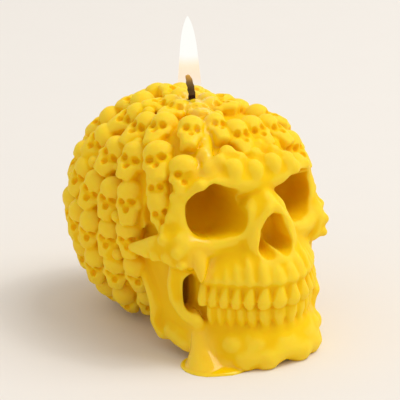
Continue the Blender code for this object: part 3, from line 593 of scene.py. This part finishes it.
wick_foot = [(0, WICK_Y, WAX_TOP - 3, (5.5, 5.5, 2.2)), (0, WICK_Y, WAX_TOP - 1.6, 2.0)]
spills += [wrap(puddle), wrap(wick_foot)]
print(len(spills), "rolls of melted wax")

# %% [markdown]
# Face, teeth, small skulls and runs are melted into one skin on a fine grid. The underside is then
# cut flat at the floor and filled, because a cast candle is levelled on a hot plate. At last the
# number of faces is brought down, which costs nothing that can be seen.

# %% Fuse everything
wax = gather("skull_wax", [wax, teeth, *relief, *spills])
melt(wax, 0.36, 2)
print("fused:", len(wax.data.polygons), "faces")

# %% Flat underside and final count
MOST_TRIANGLES = 190000
plain_select(wax)
bpy.ops.object.mode_set(mode="EDIT")
bpy.ops.mesh.select_all(action="SELECT")
bpy.ops.mesh.bisect(plane_co=(0, 0, 0), plane_no=(0, 0, 1), clear_inner=True, use_fill=True)
bpy.ops.object.mode_set(mode="OBJECT")
triangles = sum(len(p.vertices) - 2 for p in wax.data.polygons)
apply_modifier(wax, "DECIMATE", ratio=MOST_TRIANGLES / triangles)
bpy.ops.object.shade_smooth()
print("wax has", sum(len(p.vertices) - 2 for p in wax.data.polygons), "triangles")

# %% [markdown]
# ## Bore, wick and flame
#
# A round hole for the wick goes right through the wax. It is cut last, so that its wall stays true.

# %% Bore for the wick
BORE_RADIUS = 1.62
bpy.ops.mesh.primitive_cylinder_add(
    vertices=32, radius=BORE_RADIUS * MM, depth=0.3, location=(0, WICK_Y * MM, 0))
bore = bpy.context.active_object
bpy.ops.object.transform_apply(location=True, rotation=True, scale=True)
carve(wax, bore)
print("wax with its bore:", len(wax.data.polygons), "faces")

# %% [markdown]
# The wick is braided cotton. Three strands that wind around each other and are melted together only
# a little keep the grooves of the braid, which one smooth rod would not show. Above the wax the middle
# line bends to the skull's right, and the burnt end is thinner.

# %% Braided wick
WICK_SHOWS, WICK_BEND = 8.8, 2.0
WICK_END, BURNT_FROM, BURNT_LENGTH = 85.6, 83.0, 2.6
TWIST = 7.0


def wick_middle(height):
    """The middle of the wick, straight in the wax and bent to the skull's right above it."""
    above = max(0.0, height - WAX_TOP) / WICK_SHOWS
    return Vector((-WICK_BEND * above ** 1.5, WICK_Y, height))


def strand(turn):
    """The balls of one strand. They are finer at the burnt end."""
    balls = []
    height, step = 0.8, 1.15
    while height < WICK_END:
        middle = wick_middle(height)
        angle = turn + math.tau * height / TWIST
        burnt = max(0.0, height - BURNT_FROM) / BURNT_LENGTH
        reach = 0.58 * (1 - 0.75 * burnt)
        balls.append((middle.x + reach * math.cos(angle), middle.y + reach * math.sin(angle), height,
                      0.74 * (1 - 0.28 * burnt)))
        height += step
    return balls


rolls = []
for number in range(3):
    rolls += chain(strand(math.tau * number / 3))
wick = melt(gather("wick_braid", rolls), 0.15, 1)
bpy.ops.object.shade_smooth()
print("wick:", len(wick.data.polygons), "faces from", len(rolls), "rolls")

# %% [markdown]
# The flame is a drop that is widest beside the wick and drawn out to a point. Each ring of it has a
# height and a radius, and the middle follows the wick's bend. The rings are extruded one from the
# other and smoothed. Smoke or fire simulation would change from frame to frame, and this stays put.
# It casts no shadow, because it is light.

# %% Flame
FLAME_RINGS = ((78.4, 0.9), (78.8, 2.2), (79.6, 3.3), (80.6, 3.85), (81.8, 4.0), (84.0, 3.75),
               (87.0, 3.45), (90.0, 3.2), (93.0, 2.95), (96.0, 2.65), (98.4, 2.3), (100.6, 1.85),
               (102.4, 1.35), (104.0, 0.75), (105.2, 0.12))
FLAME_LENGTH = 27.0
bpy.ops.object.select_all(action="DESELECT")
bpy.ops.mesh.primitive_cylinder_add(vertices=40, radius=MM, depth=MM, location=(0, 0, 0))
flame = bpy.context.active_object
flame.name = flame.data.name = "flame_drop"
bpy.ops.object.mode_set(mode="EDIT")
bpy.ops.mesh.select_all(action="DESELECT")
bpy.ops.object.mode_set(mode="OBJECT")
for corner in flame.data.vertices:
    height, radius = FLAME_RINGS[0]
    corner.select = corner.co.z > 0
    corner.co = Vector((corner.co.x * radius, corner.co.y * radius, height * MM))
    if corner.select:
        corner.co.z += 0.05 * MM
bpy.ops.object.mode_set(mode="EDIT")
bpy.ops.mesh.select_mode(type="VERT")
for (low_z, low_r), (high_z, high_r) in zip(FLAME_RINGS, FLAME_RINGS[1:]):
    bpy.ops.mesh.extrude_region_move(TRANSFORM_OT_translate={"value": (0, 0, (high_z - low_z) * MM)})
    bpy.ops.transform.resize(value=(high_r / low_r, high_r / low_r, 1), center_override=(0, 0, 0))
bpy.ops.mesh.select_all(action="SELECT")
bpy.ops.mesh.normals_make_consistent(inside=False)
bpy.ops.object.mode_set(mode="OBJECT")
for corner in flame.data.vertices:
    share = (corner.co.z / MM - FLAME_RINGS[0][0]) / FLAME_LENGTH
    corner.co.x += (-0.9 - 0.9 * share) * MM
    corner.co.y += WICK_Y * MM
apply_modifier(flame, "SUBSURF", levels=1)
bpy.ops.object.shade_smooth()
flame.visible_shadow = False
print("flame:", len(flame.data.polygons), "faces and", round(flame.dimensions.z * 1000, 1), "mm tall")

# %% [markdown]
# ## Where the wax is wet and where it is deep
#
# The finish of the wax changes with its shape, so three numbers are stored at every corner of it.
# Painting by hand would give the same, but numbers that are worked out follow each later change. First
# the corners, their normals and their edges are read.


# %% Read the corners of the wax
def store(target, name, values):
    """Keep one number for each corner, for the material to read."""
    layer = target.data.attributes.new(name, "FLOAT", "POINT")
    layer.data.foreach_set("value", values.astype(np.float32))


count = len(wax.data.vertices)
corners = np.zeros(count * 3)
wax.data.vertices.foreach_get("co", corners)
corners = corners.reshape(-1, 3) / MM
normals = np.zeros(count * 3)
wax.data.vertices.foreach_get("normal", normals)
normals = normals.reshape(-1, 3)
edges = np.zeros(len(wax.data.edges) * 2, dtype=np.int64)
wax.data.edges.foreach_get("vertices", edges)
first, second = edges.reshape(-1, 2).T
friends = np.bincount(first, minlength=count) + np.bincount(second, minlength=count)


def soften(values, rounds):
    """Blur one number of each corner with those of its neighbours."""
    for _ in range(rounds):
        total = (np.bincount(first, weights=values[second], minlength=count)
                 + np.bincount(second, weights=values[first], minlength=count))
        values = 0.4 * values + 0.6 * total / friends
    return values


print("corners of the wax:", count)

# %% [markdown]
# The first number compares each corner with a blurred copy of the surface. Along the normal the copy
# lies above a pit and below a dome, so the number is above zero in pits and below zero on domes. With
# it the wax is painted a strong orange in pits, as painted shade, and lighter on domes, partly as wear
# and partly as a painted highlight.

# %% Pits and domes
blurred = np.stack([soften(corners[:, axis], 40) for axis in range(3)], axis=1)
depth = ((blurred - corners) * normals).sum(axis=1)
store(wax, "depth", np.clip(depth / 0.6, -1, 1))
print("deepest pit:", round(float(depth.max()), 2), "mm")

# %% [markdown]
# The second number counts how many of five short lines of sight end in wax. It is high deep in the
# eyes, where light has passed through wax many times, and there the wax is painted a dark orange as
# painted shade.

# %% Enclosed corners
SIGHT = 24.0
skin = BVHTree.FromPolygons([Vector(corner) for corner in corners],
                            [tuple(p.vertices) for p in wax.data.polygons])
enclosed = np.zeros(count)
for index in range(count):
    out = Vector(normals[index])
    side = out.orthogonal().normalized()
    other = out.cross(side)
    start = Vector(corners[index]) + out * 0.3
    for aim in (out, out + side, out - side, out + other, out - other):
        if skin.ray_cast(start, aim, SIGHT)[0]:
            enclosed[index] += 0.2
enclosed = soften(enclosed, 6)
store(wax, "enclosed", enclosed)
print("corners with no open sight:", int((enclosed > 0.95).sum()))

# %% [markdown]
# The third number says how near a corner is to melted wax. It is measured from the centre lines that
# the runs were laid along, from the pool at the foot of the wick and from the puddle.

# %% Wet corners
PUDDLE_X, PUDDLE_Y, PUDDLE_RADIUS = -20.5, -34.0, 10.5
melted = np.full(count, 99.0)
pool = [(0, WICK_Y, WAX_TOP, 4.5), (-1.5, WICK_Y - 7, WAX_TOP - 1.5, 4.0)]
for line, widen in ((brow_run, 2.6), (cheek_drip, 1.0), (jaw_run, 0.8), (pool, 1.0)):
    for (*start, wide), (*end, _) in zip(line, line[1:]):
        radius = (wide[0] if isinstance(wide, tuple) else wide) + widen
        start, end = np.array(start), np.array(end)
        step = end - start
        along = np.clip((corners - start) @ step / (step @ step), 0, 1)
        away = np.linalg.norm(corners - start - along[:, None] * step, axis=1)
        melted = np.minimum(melted, away - radius)
shore = np.hypot(corners[:, 0] - PUDDLE_X, corners[:, 1] - PUDDLE_Y) - PUDDLE_RADIUS
shore += np.maximum(corners[:, 2] - 2.2, 0) * 4
melted = np.minimum(melted, shore)
store(wax, "wet", np.clip(0.5 - melted / 1.6, 0, 1))
print("wet share of the wax:", round(float((melted < 0).mean()), 3))

# %% [markdown]
# ## Finishes
#
# Every finish is a small graph of nodes. Written out one link at a time a graph is hard to read, so
# a class lets sockets be added and multiplied like numbers, and one method makes any other node.


# %% Node sums
class Value:
    """One output of a node, which can be used in plain arithmetic."""

    def __init__(self, tree, socket):
        self.tree, self.socket = tree, socket

    def node(self, kind, settings=None, inputs=None, output=0):
        """Any node of this tree, with its settings and what feeds its inputs."""
        made = self.tree.nodes.new(kind)
        for key, value in (settings or {}).items():
            setattr(made, key, value)
        for key, value in (inputs or {}).items():
            feed(self.tree, value, made.inputs[key])
        return Value(self.tree, made.outputs[output])

    def sum(self, operation, left, right):
        return self.node("ShaderNodeMath", {"operation": operation}, {0: left, 1: right})

    def __add__(self, other):
        return self.sum("ADD", self, other)

    def __sub__(self, other):
        return self.sum("SUBTRACT", self, other)

    def __rsub__(self, other):
        return self.sum("SUBTRACT", other, self)

    def __mul__(self, other):
        return self.sum("MULTIPLY", self, other)

    def __truediv__(self, other):
        return self.sum("DIVIDE", self, other)

    __radd__, __rmul__ = __add__, __mul__

    def between(self, low, high):
        """0 below the low value, 1 above the high one, with a soft step between them."""
        return self.node("ShaderNodeMapRange", {"interpolation_type": "SMOOTHSTEP"},
                         {"Value": self, "From Min": low, "From Max": high})

    def blend(self, without, whole):
        """One colour where this value is 0, and the other where it is 1."""
        return self.node("ShaderNodeMix", {"data_type": "RGBA"}, {0: self, 6: without, 7: whole}, 2)


def feed(tree, value, socket):
    """Link a node's output, or set a number or a colour."""
    if isinstance(value, Value):
        tree.links.new(value.socket, socket)
    elif isinstance(value, tuple) and len(value) == 3 and socket.type == "RGBA":
        socket.default_value = (*value, 1)
    else:
        socket.default_value = value


print("sums of sockets are ready")

# %% [markdown]
# A finish starts as a material whose plain numbers stand on the shader's own sockets. Only what
# changes over the surface is fed by nodes. Patterns are placed by object coordinates, in metres, so
# they have their real size on every piece.


# %% Make a finish
def new_finish(name, settings):
    """A material with its shader's plain settings, and its object coordinates to start from."""
    made = bpy.data.materials.new(name)
    made.use_nodes = True
    tree = made.node_tree
    shader = tree.nodes["Principled BSDF"]
    for key, value in settings.items():
        feed(tree, value, shader.inputs[key])
    place = Value(tree, tree.nodes.new("ShaderNodeTexCoord").outputs["Object"])
    return made, shader, place


def drive(shader, place, inputs):
    """Feed varying values into the shader."""
    for key, value in inputs.items():
        feed(place.tree, value, shader.inputs[key])


def noise(place, scale, detail=2.0):
    """A cloudy value from 0 to 1, with this many features to the metre."""
    return place.node("ShaderNodeTexNoise", None, {"Vector": place, "Scale": scale, "Detail": detail})


def height_of(place, axis):
    """One coordinate in millimetres."""
    split = place.node("ShaderNodeSeparateXYZ", None, {0: place}, axis)
    return split / MM


def bump(height, strength, distance):
    """A normal that follows the height, which is in metres once scaled by the distance."""
    return height.node("ShaderNodeBump", None, {
        "Height": height, "Strength": strength, "Distance": distance})


print("finishes, noise, heights and bumps are ready")

# %% [markdown]
# Beeswax lets light in a few millimetres and gives it back yellower, so the shader has subsurface
# light. Domes are painted lighter, partly as wear from handling and partly as a painted highlight.
# Pits are painted a strong orange and enclosed hollows a dark orange, both as painted shade. Melted
# wax is a clear yellow with a glossy film, and set wax is satin with a fine grain.

# %% Beeswax
finish, shader, place = new_finish("beeswax", {
    "Subsurface Weight": 0.4, "Subsurface Radius": (1.0, 0.42, 0.02), "Subsurface Scale": 0.003,
    "Specular IOR Level": 0.09, "Coat Roughness": 0.05})
depth = place.node("ShaderNodeAttribute", {"attribute_name": "depth"}, None, 2)
wet = place.node("ShaderNodeAttribute", {"attribute_name": "wet"}, None, 2)
enclosed = place.node("ShaderNodeAttribute", {"attribute_name": "enclosed"}, None, 2)
clouds = noise(place, 70.0)
grain = noise(place, 1500.0, 4.0)
dimples = noise(place, 420.0, 2.0)
tone = clouds.between(0.35, 0.68).blend((0.89, 0.54, 0.001), (0.95, 0.60, 0.003))
# Domes are painted lighter: partly wear from handling, partly a painted highlight.
wear_and_painted_highlight = ((0.0 - depth).between(0.2, 1.0) * 0.6).blend(tone, (0.95, 0.69, 0.05))
# Pits are painted a strong orange: painted shade in the creases.
painted_pit_shade = (depth.between(0.1, 1.0) * 0.35).blend(wear_and_painted_highlight, (0.88, 0.44, 0.001))
# Enclosed hollows are painted a dark orange: painted shade where little light gets in.
shaded = (enclosed.between(0.35, 1.05) * 0.4).blend(painted_pit_shade, (0.68, 0.33, 0.0))
colour = (wet * 0.7).blend(shaded, (0.97, 0.60, 0.0))
drive(shader, place, {
    "Base Color": colour,
    "Roughness": (0.5 + 0.18 * (grain - 0.5)) * (1 - 0.68 * wet),
    "Coat Weight": wet * 0.6,
    "Normal": bump(grain * 0.35 + dimples * (1 - wet * 0.7), 0.35, 0.00022)})
wax.data.materials.clear()
wax.data.materials.append(finish)
print("beeswax has", len(finish.node_tree.nodes), "nodes")

# %% [markdown]
# The wick is burnt to a dark brown soot that still shows its fibres. Its very end glows golden through
# the flame, so the colour changes there with the height.

# %% Charred wick
finish, shader, place = new_finish("charred_cotton", {"Specular IOR Level": 0.2})
fibres = noise(place, 2600.0, 3.0)
height = height_of(place, 2)
tip = (height + fibres * 2.0).between(83.8, 86.2)
soot = fibres.between(0.35, 0.7).blend((0.018, 0.004, 0.001), (0.055, 0.017, 0.001))
drive(shader, place, {
    "Base Color": tip.blend(soot, (0.46, 0.24, 0.02)),
    "Roughness": 0.75 + fibres * 0.2,
    "Normal": bump(fibres, 0.6, 0.00015)})
wick.data.materials.append(finish)
print("charred cotton has", len(finish.node_tree.nodes), "nodes")

# %% [markdown]
# The flame gives light and covers what is behind it only in part. It is white and dense above, and
# a clear pale peach beside the wick. A volume would do this too, but it renders slowly and isn't
# exported, while a see-through skin is.

# %% Flame light
finish, shader, place = new_finish("flame_light", {
    "Base Color": (0.0, 0.0, 0.0), "Roughness": 1.0, "Specular IOR Level": 0.0, "Emission Strength": 1.3})
flicker = noise(place, 160.0)
height = height_of(place, 2) + flicker
white = height.between(85.0, 93.5)
drive(shader, place, {
    "Emission Color": white.blend((1.0, 0.60, 0.20), (0.77, 0.77, 0.73)),
    "Alpha": 0.04 + 0.13 * height.between(81.5, 85.5) + 0.83 * height.between(86.0, 93.5)})
flame.data.materials.clear()
flame.data.materials.append(finish)
print("flame light has", len(finish.node_tree.nodes), "nodes")

# %% [markdown]
# ## Floor and light
#
# The candle stands on a wide pale ground. It is kept a little darker than white, so that the soft
# shadow beside the candle shows.

# %% Floor
bpy.ops.mesh.primitive_circle_add(vertices=64, radius=3.0, fill_type="NGON", location=(0, 0, 0))
floor = bpy.context.active_object
floor.name = "pale_floor"
finish, shader, place = new_finish("pale_ground", {"Specular IOR Level": 0.1})
speckle = noise(place, 40.0)
drive(shader, place, {
    "Base Color": speckle.blend((0.815, 0.772, 0.718), (0.825, 0.782, 0.728)),
    "Roughness": 0.8 + speckle * 0.1,
    "Normal": bump(speckle, 0.1, 0.0001)})
floor.data.materials.append(finish)
print("floor is", round(floor.dimensions.x, 1), "m wide")

# %% [markdown]
# One broad soft lamp high on the right is the main light. It stands far away, because a near lamp
# would light the ground unevenly. A small weak one at the same place gives the wet wax its crisp
# highlights, which a broad lamp alone would smear.

# %% Lamps
LOOK_AT = Vector((0, 0, 0.03))
bpy.ops.object.light_add(type="AREA", location=(1.06, -0.72, 2.28))
key = bpy.context.active_object
key.data.shape = "RECTANGLE"
key.data.size = 1.6
key.data.size_y = 1.6
key.data.energy = 31
key.rotation_euler = (key.location - LOOK_AT).to_track_quat("Z", "Y").to_euler()
glint = key.copy()
glint.data = key.data.copy()
glint.data.size = glint.data.size_y = 0.3
glint.data.energy = 5
bpy.context.scene.collection.objects.link(glint)
print("lamps of", key.data.energy, "and", glint.data.energy, "watts")

# %% [markdown]
# The pale surroundings fill the shadows. What the camera and the reflections see of them is a little
# brighter than what lights the candle, which the nodes of the world tell apart by the kind of ray.

# %% Surroundings
world = bpy.data.worlds.new("pale_room")
bpy.context.scene.world = world
world.use_nodes = True
room = world.node_tree.nodes["Background"]
room.inputs["Color"].default_value = (1.0, 0.985, 0.965, 1)
rays = world.node_tree.nodes.new("ShaderNodeLightPath").outputs
camera_ray, glossy_ray, clear_ray = (
    Value(world.node_tree, rays[kind])
    for kind in ("Is Camera Ray", "Is Glossy Ray", "Is Transmission Ray"))
feed(world.node_tree, 0.70 + 0.15 * (camera_ray + glossy_ray + clear_ray), room.inputs["Strength"])
bpy.context.scene.view_settings.view_transform = "Standard"
print("surroundings have", len(world.node_tree.nodes), "nodes")

# %% [markdown]
# ## Hand over
#
# Each piece is told which body it moves with, and the plain solid that it stands for is hidden.

# %% Hand over
for piece, node in ((wax, "wax_skull"), (wick, "wick"), (flame, "flame")):
    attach(piece, "root")
    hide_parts(node)
